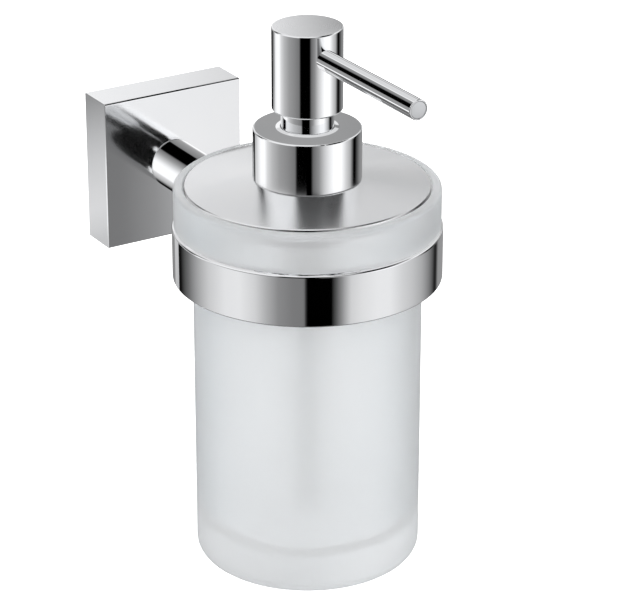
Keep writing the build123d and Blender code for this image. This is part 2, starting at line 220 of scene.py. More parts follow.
def new_material(name, **sockets):
    """A material with its main shader's sockets set. It returns the material, its nodes, links and shader."""
    material = bpy.data.materials.new(name)
    material.use_nodes = True
    nodes, links = material.node_tree.nodes, material.node_tree.links
    shader = nodes["Principled BSDF"]
    for socket, value in sockets.items():
        shader.inputs[socket.replace("_", " ")].default_value = value
    return material, nodes, links, shader


def object_noise(nodes, links, scale, detail=2.0, stretch=(1, 1, 1)):
    """A noise in the piece's own space, with `scale` features to the metre."""
    place = nodes.new("ShaderNodeTexCoord")
    mapping = nodes.new("ShaderNodeMapping")
    mapping.inputs["Scale"].default_value = stretch
    noise = nodes.new("ShaderNodeTexNoise")
    noise.inputs["Scale"].default_value = scale
    noise.inputs["Detail"].default_value = detail
    links.new(place.outputs["Object"], mapping.inputs["Vector"])
    links.new(mapping.outputs["Vector"], noise.inputs["Vector"])
    return noise.outputs["Fac"]


def spread(nodes, links, value, low, high, start=0.3, end=0.7):
    """Map a noise's middle part onto the range low to high."""
    change = nodes.new("ShaderNodeMapRange")
    change.inputs["From Min"].default_value = start
    change.inputs["From Max"].default_value = end
    change.inputs["To Min"].default_value = low
    change.inputs["To Max"].default_value = high
    links.new(value, change.inputs["Value"])
    return change.outputs["Result"]


def bump(nodes, links, shader, value, strength, depth):
    """Let a value raise and lower the surface by up to `depth` metres."""
    relief = nodes.new("ShaderNodeBump")
    relief.inputs["Strength"].default_value = strength
    relief.inputs["Distance"].default_value = depth
    links.new(value, relief.inputs["Height"])
    links.new(relief.outputs["Normal"], shader.inputs["Normal"])


def tint(nodes, links, shader, value, first, second):
    """Let a value mix two colours into the shader's base colour."""
    mix = nodes.new("ShaderNodeMix")
    mix.data_type = "RGBA"
    mix.inputs["A"].default_value = (*first, 1)
    mix.inputs["B"].default_value = (*second, 1)
    links.new(value, mix.inputs["Factor"])
    links.new(mix.outputs["Result"], shader.inputs["Base Color"])


# %% Polished chrome


def make_chrome(name, roughness, haze):
    material, nodes, links, shader = new_material(name, Metallic=1.0)
    wiped = object_noise(nodes, links, 45, detail=3)
    links.new(spread(nodes, links, wiped, roughness, roughness + haze), shader.inputs["Roughness"])
    tint(nodes, links, shader, spread(nodes, links, wiped, 0, 1), (0.90, 0.91, 0.92), (0.93, 0.935, 0.94))
    return material


CHROME = make_chrome("polished_chrome", 0.02, 0.03)
SOFT_CHROME = make_chrome("soft_chrome", 0.09, 0.04)
print("chrome materials:", CHROME.name, SOFT_CHROME.name)

# %% [markdown]
# ## Satin metal
#
# The lid is satin: it still mirrors the pump, but the image blurs with distance. That is a roughness of
# about a quarter. A lid is faced on a lathe, so its tool marks are fine rings round its centre. A ring
# pattern needs its centre on the pump's axis, which a Mapping node gives it.

# %% Satin metal, turned round the pump's axis
TOOL_MARKS = 600  # gives about two rings to the millimetre


def make_satin(name, centre, roughness, first=(0.83, 0.84, 0.85), second=(0.87, 0.875, 0.88)):
    material, nodes, links, shader = new_material(name, Metallic=1.0)
    place = nodes.new("ShaderNodeTexCoord")
    mapping = nodes.new("ShaderNodeMapping")
    mapping.inputs["Location"].default_value = [-c for c in centre]
    rings = nodes.new("ShaderNodeTexWave")
    rings.wave_type = "RINGS"
    rings.rings_direction = "Z"
    rings.inputs["Scale"].default_value = TOOL_MARKS
    links.new(place.outputs["Object"], mapping.inputs["Vector"])
    links.new(mapping.outputs["Vector"], rings.inputs["Vector"])
    cloud = object_noise(nodes, links, 60, detail=3)
    marks = spread(nodes, links, rings.outputs["Fac"], roughness, roughness + 0.03)
    links.new(marks, shader.inputs["Roughness"])
    tint(nodes, links, shader, spread(nodes, links, cloud, 0, 1), first, second)
    return material


SATIN = make_satin("turned_satin", PUMP, roughness=0.24)
HEAD_SATIN = make_satin("head_satin", PUMP, roughness=0.26)
print("satin metal:", SATIN.name)

# %% [markdown]
# ## Frosted glass
#
# The tumbler is clear glass with an etched skin. Light goes through, but nothing behind it keeps its
# outline. The base colour is nearly white with a breath of blue, the transmission is partial because the
# etch sends much of the light straight back, and a very fine bump gives the etch its grain.

# %% Frosted glass


def make_frosted_glass():
    material, nodes, links, shader = new_material(
        "etched_glass",
        Roughness=0.36,
        IOR=1.5,
        Transmission_Weight=0.62,
    )
    depth = nodes.new("ShaderNodeVolumeAbsorption")
    depth.inputs["Color"].default_value = (0.78, 0.87, 0.91, 1)
    depth.inputs["Density"].default_value = 5
    links.new(depth.outputs["Volume"], nodes["Material Output"].inputs["Volume"])
    cloud = object_noise(nodes, links, 35, detail=2)
    tint(nodes, links, shader, spread(nodes, links, cloud, 0, 1), (0.965, 0.98, 0.99), (0.98, 0.99, 1.0))
    grain = object_noise(nodes, links, 2600, detail=1)
    bump(nodes, links, shader, grain, 0.08, GRAIN_DEPTH)
    return material


FROST = make_frosted_glass()
print("glass:", FROST.name)

# %% [markdown]
# ## Plastics, rubber and steel
#
# The parts inside only show when the pump is lifted out or the object is seen from behind. They still need
# their own finish: moulded plastic is a little waxy, the silicone of the seals is milky and dull, and zinc
# plate and spring steel are greyer and rougher than chrome.

# %% Plastics, rubber and steel


def make_plastic(name, first, second, roughness, waxy):
    material, nodes, links, shader = new_material(
        name, IOR=1.5, Subsurface_Weight=waxy, Subsurface_Scale=2 * MM, Subsurface_Radius=(1.0, 0.9, 0.8)
    )
    flow = object_noise(nodes, links, 120, detail=3, stretch=(1, 1, 0.3))
    tint(nodes, links, shader, spread(nodes, links, flow, 0, 1), first, second)
    links.new(spread(nodes, links, flow, roughness, roughness + 0.1), shader.inputs["Roughness"])
    return material


def make_steel(name, first, second, roughness, scale):
    material, nodes, links, shader = new_material(name, Metallic=1.0)
    grain = object_noise(nodes, links, scale, detail=4)
    tint(nodes, links, shader, spread(nodes, links, grain, 0, 1), first, second)
    links.new(spread(nodes, links, grain, roughness, roughness + 0.15), shader.inputs["Roughness"])
    bump(nodes, links, shader, grain, 0.1, GRAIN_DEPTH)
    return material


def make_rubber():
    material, nodes, links, shader = new_material("milky_silicone", IOR=1.45)
    grain = object_noise(nodes, links, 900, detail=3)
    tint(nodes, links, shader, spread(nodes, links, grain, 0, 1), (0.78, 0.79, 0.80), (0.84, 0.85, 0.86))
    links.new(spread(nodes, links, grain, 0.6, 0.8), shader.inputs["Roughness"])
    bump(nodes, links, shader, grain, 0.15, GRAIN_DEPTH)
    return material


LINER = make_plastic("moulded_liner", (0.74, 0.76, 0.78), (0.80, 0.82, 0.83), 0.35, 0.2)
PUMP_WHITE = make_plastic("moulded_pump", (0.80, 0.80, 0.77), (0.86, 0.86, 0.84), 0.3, 0.2)
TUBE = make_plastic("drawn_tube", (0.72, 0.74, 0.74), (0.80, 0.82, 0.81), 0.25, 0.3)
ZINC = make_steel("zinc_plate", (0.50, 0.51, 0.53), (0.62, 0.62, 0.63), 0.3, 350)
STAINLESS = make_steel("spring_steel", (0.60, 0.60, 0.60), (0.68, 0.68, 0.67), 0.18, 500)
RUBBER = make_rubber()
print("materials so far:", len(bpy.data.materials))

# %% [markdown]
# ## The rosette
#
# The rosette is a square cap, open towards the wall. A cube is stretched to its box, its outer edges are
# rounded, and the face on the wall is inset by the wall's thickness and pushed in to make the hollow. Its
# edges are nearly sharp, and the thin line along them is a large part of how chrome reads.

# %% The rosette
ROSETTE_WALL = 2.0 * MM
ROSETTE_FRONT = 3.0 * MM
ROSETTE_EDGE = 0.5 * MM
ROSETTE_SIDE_EDGE = 0.15 * MM


def block(low, high):
    """A cube stretched between two corners."""
    bm = bmesh.new()
    size = high - low
    place = Matrix.Translation((low + high) / 2) @ Matrix.Diagonal((*size, 1))
    bmesh.ops.create_cube(bm, size=1, matrix=place)
    return bm


def face_towards(bm, direction):
    """The face that looks most nearly along a direction, and lies furthest that way."""

    def reach(face):
        return round(face.normal.dot(direction), 3), face.calc_center_median().dot(direction)

    return max(bm.faces, key=reach)


rosette_low, rosette_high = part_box("rosette")
form = block(rosette_low, rosette_high)
wall_face = face_towards(form, OUT)
outer = [edge for edge in form.edges if edge not in wall_face.edges[:]]
level = [edge for edge in outer if abs((edge.verts[0].co - edge.verts[1].co).x) > TOUCHING]
bmesh.ops.bevel(form, geom=level, offset=ROSETTE_EDGE, affect="EDGES", segments=4, profile=0.5, material=-1)
flanks = [edge for side in (-1, 1) for edge in face_towards(form, Vector((side, 0, 0))).edges]
flanks = [edge for edge in flanks if edge.calc_face_angle() > SHARP_ANGLE and edge not in wall_face.edges[:]]
bmesh.ops.bevel(
    form, geom=flanks, offset=ROSETTE_SIDE_EDGE, affect="EDGES", segments=3, profile=0.5, material=-1
)
wall_face = face_towards(form, OUT)
bmesh.ops.inset_region(form, faces=[wall_face], thickness=ROSETTE_WALL, use_even_offset=True)
hollow_depth = (rosette_high.y - rosette_low.y) - ROSETTE_FRONT
pushed = bmesh.ops.extrude_face_region(form, geom=[wall_face])
moved = [item for item in pushed["geom"] if isinstance(item, bmesh.types.BMVert)]
bmesh.ops.translate(form, verts=moved, vec=-OUT * hollow_depth)
bmesh.ops.delete(form, geom=[wall_face], context="FACES")
bmesh.ops.recalc_face_normals(form, faces=form.faces[:])
finish_piece("rosette_cover", form, "holder", "chrome", SOFT_CHROME, "rosette")

# %% [markdown]
# ## The wall plate and the screws
#
# The plate is zinc-plated steel with a lip above and below, and it only shows from behind. It is a plain
# pressing with sharp edges, and so are the three screws with their hexagon sockets. Their forms stay as the
# frame gives them, and only get their finish here. So does the plastic insert that is closed inside the
# head.

# %% Finishes for the pieces that keep their form
KEPT = {
    "wall_plate": ZINC,
    "arm_screw": ZINC,
    "ring_screw": STAINLESS,
    "grub_screw": STAINLESS,
    "head_socket": PUMP_WHITE,
}
for node, material in KEPT.items():
    frame["nodes"][node].data.materials.clear()
    frame["nodes"][node].data.materials.append(material)
print("kept from the frame:", *KEPT)

# %% [markdown]
# ## The arm and the ring
#
# The arm is a plain bar. Its near end goes a little way into the ring's wall, where the real one is cut to
# a saddle and screwed. The ring is a square-edged band with a rebate at the top for its liner.

# %% The arm
ARM_EDGE = 0.4 * MM
ARM_SINK = 1.5 * MM  # how far the bar's end goes into the ring's wall
arm = Turned("arm", ARM, OUT)
arm_end = PUMP.y + ring.radius - ARM_SINK
form = lathe(
    [(0, arm_end, 0), (arm.radius, arm_end, 0), (arm.radius, rosette_low.y, ARM_EDGE), (0, rosette_low.y, 0)],
    centre=ARM,
    axis=OUT,
    steps=128,
)
finish_piece("arm_bar", form, "holder", "chrome", CHROME, "arm")

# %% The ring
RING_TOP_EDGE = 0.5 * MM
RING_BOTTOM_EDGE = 0.35 * MM
REBATE_WIDTH = 1.5 * MM
REBATE_DEPTH = 1.0 * MM
rebate = ring.bore + REBATE_WIDTH
rebate_floor = ring.high - REBATE_DEPTH
form = lathe(
    [
        (ring.bore, ring.low, RING_BOTTOM_EDGE),
        (ring.radius, ring.low, RING_BOTTOM_EDGE),
        (ring.radius, ring.high, RING_TOP_EDGE),
        (rebate, ring.high, 0.2 * MM),
        (rebate, rebate_floor, 0),
        (ring.bore, rebate_floor, 0),
    ],
    steps=192,
)
finish_piece("holder_ring", form, "holder", "chrome", CHROME, "ring")

# %% The liner of the ring
LINER_EDGE = 0.4 * MM
liner_outer = ring.bore - 0.1 * MM
form = lathe(
    [
        (liner.bore, liner.low, LINER_EDGE),
        (liner_outer, liner.low, LINER_EDGE),
        (liner_outer, rebate_floor, 0),
        (liner.radius, rebate_floor, 0),
        (liner.radius, liner.high, 0.15 * MM),
        (liner.bore, liner.high, LINER_EDGE),
    ],
    steps=128,
)
finish_piece("glass_seat", form, "holder", "liner_plastic", LINER, "ring_liner")

# %% [markdown]
# ## The tumbler
#
# The glass is one thick-walled piece. Its collar hangs on the liner, its mouth has a step for the lid's
# gasket, and its base is three times as thick as its wall, which shows through the frost as a soft darker
# line. All of that is in one outline, from the middle of the underside round to the middle of the floor.

# %% The tumbler
GLASS_GAP = 0.4 * MM
GLASS_WALL = 3.0 * MM
GLASS_BASE = 9.0 * MM
RIM_WIDTH = 2.6 * MM
FOOT_RADIUS = 23.0 * MM
FOOT_HOLLOW = 0.7 * MM
body_radius = liner.bore - GLASS_GAP
inner_radius = body_radius - GLASS_WALL
mouth_radius = glass.radius - RIM_WIDTH
floor = glass.low + GLASS_BASE
gasket = Turned("lid_gasket")
form = lathe(
    [
        (0, glass.low + FOOT_HOLLOW, 0),
        (FOOT_RADIUS, glass.low + FOOT_HOLLOW, 1.5 * MM),
        (FOOT_RADIUS + 1.5 * MM, glass.low, 0.6 * MM),
        (body_radius, glass.low, 3.5 * MM),
        (body_radius, liner.high, 0.3 * MM),
        (glass.radius, liner.high, 0.5 * MM),
        (glass.radius, glass.high, 1.0 * MM),
        (mouth_radius, glass.high, 0.3 * MM),
        (mouth_radius, gasket.low, 0.2 * MM),
        (inner_radius, gasket.low, 0.4 * MM),
        (inner_radius, floor, 7.0 * MM),
        (0, floor, 0),
    ],
    steps=192,
    segments=6,
)
finish_piece("frosted_tumbler", form, "tumbler", "frosted_glass", FROST, "tumbler")

# %% [markdown]
# ## The lid
#
# The lid is pressed from sheet: a nearly flat cone that rises towards the pump, a flat land under the pump's
# collar, and a short skirt below that keeps it in the middle of the glass.

# %% The lid
LID_THICKNESS = 1.5 * MM
SKIRT_GAP = 0.5 * MM
SKIRT_WALL = 1.0 * MM
lid_rim = gasket.high + LID_THICKNESS
skirt = inner_radius - SKIRT_GAP
form = lathe(
    [
        (lid.bore, lid.high, 0),
        (pump_collar.radius, lid.high, 0.15 * MM),
        (lid.radius, lid_rim, 0.45 * MM),
        (lid.radius, gasket.high, 0.15 * MM),
        (skirt, gasket.high, 0),
        (skirt, lid.low, 0.3 * MM),
        (skirt - SKIRT_WALL, lid.low, 0.3 * MM),
        (skirt - SKIRT_WALL, gasket.high, 0),
        (pump_collar.radius, lid.high - LID_THICKNESS, 0),
        (lid.bore, lid.high - LID_THICKNESS, 0),
    ],
    steps=192,
)
finish_piece("lid_disc", form, "lid", "satin_metal", SATIN, "lid")

# %% [markdown]
# ## The pump's chrome
#
# The collar is a short turned nut with a small bevel at its top and round the hole of the neck. The neck
# and the head above it are plain cylinders. The head is hollow from below, where the neck and the plastic
# insert go in.

# %% The pump collar
COLLAR_CAP = 6.5 * MM
NECK_GAP = 0.12 * MM
FOOT_RISE = 0.22 * MM  # a low cone round the neck, just under the pressed head
FOOT_WIDTH = 1.2 * MM
FOOT_TOP = 0.15 * MM  # the level ring on the cone's top
mouth = neck.radius + NECK_GAP
form = lathe(
    [
        (lid.bore, pump_collar.low, 0.2 * MM),
        (pump_collar.radius, pump_collar.low, 0.3 * MM),
        (pump_collar.radius, pump_collar.high, 0.45 * MM),
        (mouth + FOOT_WIDTH, pump_collar.high, 0.1 * MM),
        (mouth + FOOT_TOP, pump_collar.high + FOOT_RISE, 0.05 * MM),
        (mouth, pump_collar.high + FOOT_RISE, 0.05 * MM),
        (mouth, pump_collar.high - COLLAR_CAP, 0.2 * MM),
        (lid.bore, pump_collar.high - COLLAR_CAP, 0),
    ],
    steps=160,
)
finish_piece("pump_nut", form, "lid", "chrome", CHROME, "pump_collar")

# %% The neck and the head
HEAD_EDGE = 0.45 * MM
NECK_FIT = 0.02 * MM
insert = Turned("head_socket")
neck_hole = neck.radius + NECK_FIT
form = lathe(
    [
        (neck.bore, neck.low, 0.2 * MM),
        (neck.radius, neck.low, 0.3 * MM),
        (neck.radius, neck.high, 0.1 * MM),
        (neck.bore, neck.high, 0.1 * MM),
    ],
    steps=128,
)
finish_piece("neck", form, "head", "chrome", CHROME, "neck_sleeve")
form = lathe(
    [
        (0, head.high, 0),
        (head.radius, head.high, HEAD_EDGE),
        (head.radius, head.low, HEAD_EDGE),
        (neck_hole, head.low, 0.2 * MM),
        (neck_hole, neck.high, 0),
        (neck.bore, neck.high, 0),
        (neck.bore, insert.high, 0),
        (0, insert.high, 0),
    ],
    steps=160,
)
for face in form.faces:
    if face.normal.z > 0.999 and face.calc_center_median().z > head.high - TOUCHING:
        face.material_index = 1
finish_piece("press_head", form, "head", "chrome", [CHROME, HEAD_SATIN], "pump_head")

# %% [markdown]
# ## The spout
#
# A thin straight tube comes out of the head. Its end is closed by a disc that lies just inside a chrome
# lip, and the soap leaves through a small hole underneath. The hole is cut with a Boolean, because it is
# the one shape here that no outline can give.

# %% The spout and its plug
SPOUT_WALL = 0.95 * MM
PLUG_LIP = 0.4 * MM
PLUG_DEPTH = 1.2 * MM
OUTLET_RADIUS = 1.2 * MM
OUTLET_INSET = 7.0 * MM
spout = Turned("spout", SPOUT, OUT)
tube_bore = spout.radius - SPOUT_WALL
plug_seat = spout.radius - PLUG_LIP
form = lathe(
    [
        (tube_bore, spout.high, 0),
        (spout.radius, spout.high, 0),
        (spout.radius, spout.low, 0.25 * MM),
        (plug_seat, spout.low, 0.1 * MM),
        (plug_seat, spout.low + PLUG_DEPTH, 0),
        (tube_bore, spout.low + PLUG_DEPTH, 0),
    ],
    centre=SPOUT,
    axis=OUT,
    steps=96,
)


def cut_away(form, tool):
    """Take the tool's form out of another with an exact Boolean."""
    pieces = []
    for name, bm in (("blank", form), ("tool", tool)):
        mesh = bpy.data.meshes.new(name)
        bm.to_mesh(mesh)
        bm.free()
        pieces.append(bpy.data.objects.new(name, mesh))
        bpy.context.scene.collection.objects.link(pieces[-1])
    cut = pieces[0].modifiers.new("cut", "BOOLEAN")
    cut.operation = "DIFFERENCE"
    cut.solver = "EXACT"
    cut.object = pieces[1]
    bpy.context.view_layer.update()
    result = bpy.data.meshes.new_from_object(pieces[0].evaluated_get(bpy.context.evaluated_depsgraph_get()))
    bm = bmesh.new()
    bm.from_mesh(result)
    for piece in pieces:
        bpy.data.objects.remove(piece)
    print("cut, faces now:", len(bm.faces))
    return bm


drill = bmesh.new()
drill_place = Matrix.Translation((0, spout.low + OUTLET_INSET, SPOUT.z - spout.radius))
bmesh.ops.create_cone(
    drill, cap_ends=True, segments=32, radius1=OUTLET_RADIUS, radius2=OUTLET_RADIUS, depth=2 * spout.radius,
    matrix=drill_place,
)
form = cut_away(form, drill)
finish_piece("spout_tube", form, "head", "chrome", CHROME, "spout")

# %% The plug in the spout's end
PLUG_FIT = 0.05 * MM
plug = Turned("spout_plug", SPOUT, OUT)
PLUG_SHADES = {"first": (0.60, 0.61, 0.62), "second": (0.64, 0.65, 0.66)}
PLUG_SATIN = make_satin("plug_satin", SPOUT, roughness=0.30, **PLUG_SHADES)
form = lathe(
    [
        (0, plug.low, 0),
        (plug.radius, plug.low, 0.12 * MM),
        (plug.radius, spout.low + PLUG_DEPTH, 0),
        (tube_bore - PLUG_FIT, spout.low + PLUG_DEPTH, 0),
        (tube_bore - PLUG_FIT, plug.high, 0),
        (0, plug.high, 0),
    ],
    centre=SPOUT,
    axis=OUT,
    steps=64,
)
finish_piece("spout_end", form, "head", "satin_metal", PLUG_SATIN, "spout_plug")

# %% [markdown]
# ## What is inside
#
# The pump's plastic parts are turned forms too. They are simple tubes between the sizes that the frame
# gives, so one loop makes them from a table of node, body, slot and finish.

# %% Simple tubes
TUBES = [
    ("lid_gasket", "lid", "seal_rubber", RUBBER),
    ("pump_gasket", "lid", "seal_rubber", RUBBER),
    ("stem_guide", "lid", "pump_plastic", PUMP_WHITE),
    ("ball_cage", "lid", "pump_plastic", PUMP_WHITE),
    ("dip_tube", "lid", "tube_plastic", TUBE),
    ("stem", "plunger", "pump_plastic", PUMP_WHITE),
    ("piston_seal", "plunger", "seal_rubber", RUBBER),
]
SOFT_EDGE = 0.15 * MM
for node, body, slot, material in TUBES:
    tube = Turned(node)
    foot = [(tube.bore, tube.low, SOFT_EDGE), (tube.radius, tube.low, SOFT_EDGE)]
    top = [(tube.radius, tube.high, SOFT_EDGE), (tube.bore, tube.high, SOFT_EDGE)]
    form = lathe(foot + top, steps=96, segments=3)
    finish_piece(node + "_part", form, body, slot, material, node)

# %% [markdown]
# ## The pump's barrel and piston
#
# The barrel is the largest plastic part: a threaded head with a flange under the lid, a long tube in which
# the piston slides, a small chamber with a conical seat for the ball, and a socket for the dip tube. The
# piston is a sleeve with a groove for its seal.

# %% The pump's barrel
barrel = Turned("pump_housing")
guide = Turned("stem_guide")
cage = Turned("ball_cage")
tube = Turned("dip_tube")
THREAD_GAP = 0.1 * MM
SLIDE_GAP = 0.05 * MM
BARREL_WALL = 1.5 * MM
HEAD_BELOW = 1.5 * MM
FLANGE = 2.0 * MM
SOCKET_WALL = 1.65 * MM
CHAMBER = 2.9 * MM
VALVE_FLOOR = 1.5 * MM
thread = lid.bore - THREAD_GAP
flange_top = Turned("pump_gasket").low
slide = cage.radius + SLIDE_GAP
seat = tube.high + VALVE_FLOOR
socket = tube.radius + SLIDE_GAP
form = lathe(
    [
        (guide.radius + SLIDE_GAP, barrel.high, 0.1 * MM),
        (thread, barrel.high, 0.5 * MM),
        (thread, flange_top, 0),
        (barrel.radius, flange_top, 0.2 * MM),
        (barrel.radius, flange_top - FLANGE, 0.2 * MM),
        (thread, flange_top - FLANGE, 0),
        (thread, guide.low - HEAD_BELOW, 0.3 * MM),
        (slide + BARREL_WALL, guide.low - HEAD_BELOW, 0),
        (slide + BARREL_WALL, tube.high, 0.5 * MM),
        (socket + SOCKET_WALL, tube.high, 0),
        (socket + SOCKET_WALL, barrel.low, 0.3 * MM),
        (socket, barrel.low, 0.3 * MM),
        (socket, tube.high, 0),
        (barrel.bore, tube.high, 0),
        (barrel.bore, seat, 0),
        (CHAMBER, seat + CHAMBER - barrel.bore, 0),
        (CHAMBER, cage.low, 0),
        (slide, cage.low, 0),
        (slide, guide.low, 0),
        (guide.radius + SLIDE_GAP, guide.low, 0),
    ],
    steps=128,
)
finish_piece("barrel", form, "lid", "pump_plastic", PUMP_WHITE, "pump_housing")

# %% The piston
piston = Turned("piston")
seal = Turned("piston_seal")
form = lathe(
    [
        (piston.bore, piston.low, 0),
        (piston.radius, piston.low, 0.3 * MM),
        (piston.radius, seal.low, 0.1 * MM),
        (seal.bore, seal.low, 0),
        (seal.bore, seal.high, 0),
        (piston.radius, seal.high, 0.1 * MM),
        (piston.radius, piston.high, 0.3 * MM),
        (piston.bore, piston.high, 0),
    ],
    steps=96,
)
finish_piece("piston_sleeve", form, "plunger", "pump_plastic", PUMP_WHITE, "piston")

# %% [markdown]
# ## The spring and the two balls
#
# The spring is a wire circle that is spun round the pump's axis and raised a little at each step. It stands
# on the ball cage and is squeezed when the head goes down.

# %% The spring
COIL_TURNS = 6
COIL_STEPS = 40
WIRE_SHARE = 0.98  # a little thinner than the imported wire, to stay inside it
spring = Turned("pump_spring")
wire = (spring.radius - spring.bore) / 2 * WIRE_SHARE
coil = (spring.radius + spring.bore) / 2
rise = spring.high - spring.low - 2 * wire
form = bmesh.new()
wire_start = PUMP + Vector((coil, 0, spring.low + wire))
lay_up = Matrix.Translation(wire_start) @ Matrix.Rotation(math.pi / 2, 4, "X")
bmesh.ops.create_circle(form, cap_ends=False, segments=14, radius=wire, matrix=lay_up)
steps = COIL_TURNS * COIL_STEPS
bmesh.ops.spin(
    form, geom=form.verts[:] + form.edges[:], cent=PUMP, axis=UP, dvec=UP * rise / steps,
    angle=COIL_TURNS * 2 * math.pi, steps=steps,
)
bmesh.ops.holes_fill(form, edges=[e for e in form.edges if e.is_boundary], sides=0)
bmesh.ops.recalc_face_normals(form, faces=form.faces[:])
spring_piece = finish_piece("return_spring", form, "lid", "stainless", STAINLESS, "pump_spring")
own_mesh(spring_piece)
print(f"spring length {(spring.high - spring.low) / MM:.1f} mm, wire {2 * wire / MM:.2f} mm")

# %% The two balls
for node, body in (("inlet_ball", "inlet_valve"), ("outlet_ball", "outlet_valve")):
    low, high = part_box(node)
    form = bmesh.new()
    middle = Matrix.Translation((low + high) / 2)
    bmesh.ops.create_uvsphere(form, u_segments=48, v_segments=24, radius=(high.z - low.z) / 2, matrix=middle)
    finish_piece(node.replace("ball", "bead"), form, body, "stainless", STAINLESS, node)

# %% [markdown]
# ## Light and floor
#
# Chrome has no colour of its own, so what it looks like is decided by the room. A studio puts such an
# object in a white tent and hangs narrow black cards in it, and each card becomes one dark upright band on
# every cylinder. Here the world and a ring of cloth hold the bands, in layers one above the other. The
# camera itself sees plain white.

# %% The camera
CAMERA_AZIMUTH = math.radians(-31.37)
CAMERA_ELEVATION = math.radians(23.755)
CAMERA_DISTANCE = 0.81596
AIM = PUMP + Vector((0, -1.8, -14.7)) * MM
SENSOR = 36.0
LENS = 174.2

toward = Vector(
    (
        math.sin(CAMERA_AZIMUTH) * math.cos(CAMERA_ELEVATION),
        -math.cos(CAMERA_AZIMUTH) * math.cos(CAMERA_ELEVATION),
        math.sin(CAMERA_ELEVATION),
    )
)
camera_data = bpy.data.cameras.new("camera")
camera_data.sensor_width = SENSOR
camera_data.lens = LENS
camera_data.clip_start = 0.01
camera = bpy.data.objects.new("camera", camera_data)
bpy.context.scene.collection.objects.link(camera)
camera.location = AIM + toward * CAMERA_DISTANCE
camera.rotation_euler = toward.to_track_quat("Z", "Y").to_euler()
bpy.context.scene.camera = camera
print(f"camera {CAMERA_DISTANCE:.2f} m away, lens {LENS} mm")

# %% The bands in the tent
# Each entry is an angle round the object in degrees, counted from the camera, and a shade from 0, black, to
# 1, white.
HEAD_BANDS = [
    (-180, 0.08), (-146, 0.10), (-139, 0.55), (-133, 0.80), (-124, 0.90), (-114, 1.0), (-101, 1.0),
    (-92, 0.84), (-78, 0.71), (-60, 0.59), (-40, 0.52), (-26, 0.45), (-22, 0.04), (-18, 0.0), (8, 0.0),
    (12, 0.40), (24, 0.55), (36, 0.78), (48, 0.93), (58, 1.02), (74, 1.02), (88, 0.82), (101, 0.66),
    (106, 0.45), (112, 0.06), (119, 0.02), (130, 0.36), (140, 0.50), (156, 0.56), (180, 0.50),
]
RING_BANDS = [
    (-180, 0.54), (-146, 0.51), (-141, 0.35), (-137, 0.07), (-133, 0.10), (-118, 0.42), (-104, 0.63),
    (-90, 0.78), (-72, 0.88), (-58, 0.89), (-44, 0.81), (-34, 0.67), (-24, 0.53), (-12, 0.47), (-3, 0.46),
    (-1, 0.01), (20, 0.01), (24, 0.35), (28, 0.52), (36, 0.80), (46, 0.86), (60, 0.90), (72, 0.90),
    (86, 0.81), (98, 0.75), (110, 0.66), (120, 0.53), (129, 0.35), (134, 0.14), (138, 0.17), (144, 0.55),
    (180, 0.58),
]
LOW_BANDS = [
    (-180, 0.04), (-176, 0.50), (-128, 0.60), (-108, 0.58), (-100, 0.95), (-92, 0.84), (-60, 0.59),
    (-26, 0.45), (-22, 0.02), (8, 0.02), (12, 0.40), (36, 0.78), (58, 1.0), (76, 1.0), (101, 0.66),
    (112, 0.04), (119, 0.04), (132, 0.40), (150, 0.58), (168, 0.55), (172, 0.04), (180, 0.04),
]
HIGH_BANDS = [
    (-180, 0.60), (-178.6, 0.60), (-177, 0.92), (-172, 0.97), (-140, 0.85), (-130, 0.62), (-125, 0.02),
    (-109, 0.02), (-104, 0.9), (-92, 0.92), (-60, 0.75), (-26, 0.60), (-22, 0.02), (8, 0.02), (12, 0.40),
    (36, 0.78), (58, 1.0), (76, 1.0), (101, 0.66), (112, 0.04), (119, 0.04), (132, 0.40), (150, 0.55),
    (176, 0.52), (180, 0.60),
]
# Like the high bands, but light straight behind the object.
SHELF_BANDS = [(-180, 0.90), *HIGH_BANDS[2:-3], (140, 0.78), (155, 0.88), (180, 0.90)]
CEILING_BANDS = [
    (-180, 0.84), (-150, 0.84), (-143, 0.98), (-139, 0.55), (-125, 0.50), (-121, 0.03), (-113, 0.03),
    (-108, 0.80), (-80, 0.98), (-30, 0.95), (-22, 0.03), (84, 0.03), (92, 0.95), (130, 0.95), (155, 0.84),
    (180, 0.84),
]
CORNER_BANDS = [(-180, 0.90), (50, 0.90), (58, 0.02), (164, 0.02), (170, 0.90), (180, 0.90)]
ROOF_BANDS = [(-180, 0.90), (180, 0.90)]
GROUND_BANDS = [(-180, 0.42), (180, 0.42)]
GAMMA = 2.2
CHROME_LOSS = 0.915  # how much of the light chrome gives back
COOL = 1.01  # a breath of blue


def shade_ramp(nodes, links, angle, bands):
    """A colour ramp over a full turn, from angles and shades."""
    ramp = nodes.new("ShaderNodeValToRGB")
    elements = ramp.color_ramp.elements
    for index, (degrees, shade) in enumerate(bands):
        position = 0.5 + degrees / 360
        element = elements[index] if index < 2 else elements.new(position)
        element.position = position
        light = shade**GAMMA / CHROME_LOSS
        element.color = (light, light, light * COOL, 1)
    links.new(angle, ramp.inputs["Fac"])
    return ramp.outputs["Color"]


